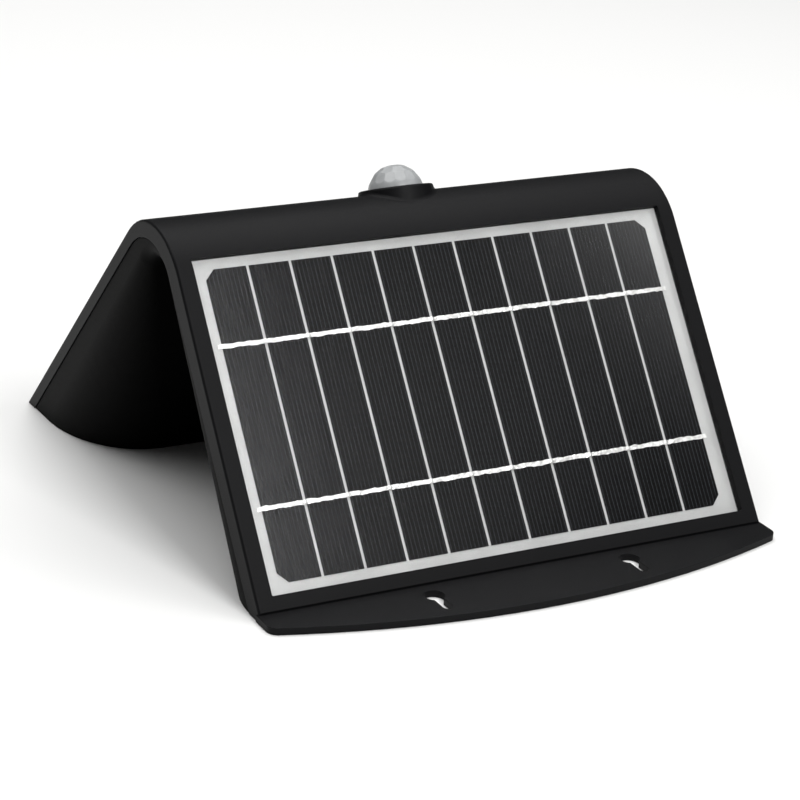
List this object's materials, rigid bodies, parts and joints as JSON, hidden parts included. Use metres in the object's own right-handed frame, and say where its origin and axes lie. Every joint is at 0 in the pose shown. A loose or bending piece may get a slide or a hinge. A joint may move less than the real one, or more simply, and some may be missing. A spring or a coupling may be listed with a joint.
{
  "type": "solar wall light",
  "caption": "V-shaped black solar wall light with a solar panel on the upper wing, a lamp on the lower wing and a motion sensor on the ridge.",
  "frame": {"origin": "middle of the wall plane under the whole lamp", "axes": "+X along the ridge, +Y towards the lamp wing, +Z away from the wall to the ridge"},
  "size_m": [0.2502, 0.2868, 0.1439],
  "materials": {
    "housing_black": "satin",
    "cover_black": "satin",
    "seal_black": "matte",
    "panel_white": "satin",
    "silicon": "gloss",
    "tinned_copper": "satin",
    "clear_resin": "gloss",
    "lens_milky": "satin",
    "diffuser_opal": "satin",
    "reflector_white": "satin",
    "mcpcb_white": "satin",
    "led_phosphor": "satin",
    "pcb_green": "satin",
    "chip_black": "satin",
    "capacitor_sleeve": "satin",
    "ferrite_grey": "matte",
    "connector_white": "satin",
    "nickel": "satin",
    "screw_steel": "satin",
    "can_steel": "satin",
    "ir_filter": "gloss",
    "sensor_epoxy": "gloss",
    "battery_wrap": "gloss",
    "cradle_black": "satin",
    "wire_pvc": "satin",
    "wire_thin_pvc": "satin",
    "button_silicone": "matte",
    "plunger_pom": "satin",
    "vent_black": "matte"
  },
  "bodies": {
    "lamp": {"outer_housing": "housing_black", "inner_cover": "cover_black", "housing_seal": "seal_black", "panel_adhesive": "seal_black", "panel_board": "panel_white", "solar_cells": "silicon", "cell_ribbons": "tinned_copper", "panel_window": "clear_resin", "sensor_dome": "lens_milky", "dome_seal": "seal_black", "sensor_retainer": "cradle_black", "sensor_board": "pcb_green", "pir_can": "can_steel", "pir_window": "ir_filter", "light_sensor": "sensor_epoxy", "diffuser_seal": "seal_black", "lamp_diffuser": "diffuser_opal", "led_reflector": "reflector_white", "led_board": "mcpcb_white", "led_chips": "led_phosphor", "led_screws": "screw_steel", "battery_cells": "battery_wrap", "battery_tabs": "nickel", "battery_cradle": "cradle_black", "cradle_screws": "screw_steel", "control_board": "pcb_green", "control_chips": "chip_black", "control_capacitors": "capacitor_sleeve", "control_inductor": "ferrite_grey", "control_connectors": "connector_white", "control_screws": "screw_steel", "tact_switch": "chip_black", "vent_plug": "vent_black", "cover_screws": "screw_steel", "sensor_screws": "screw_steel", "panel_leads": "wire_pvc", "lamp_leads": "wire_pvc", "battery_leads": "wire_pvc", "sensor_leads": "wire_thin_pvc"},
    "button": {"mode_button": "button_silicone", "switch_plunger": "plunger_pom"}
  },
  "joints": [
    {"name": "button_press", "type": "slide", "parent": "lamp", "child": "button", "axis": [0, -0.8988, 0.4384], "range_m": [0, 0.0006], "stiffness_N_per_m": 600, "springref_m": -0.001}
  ]
}
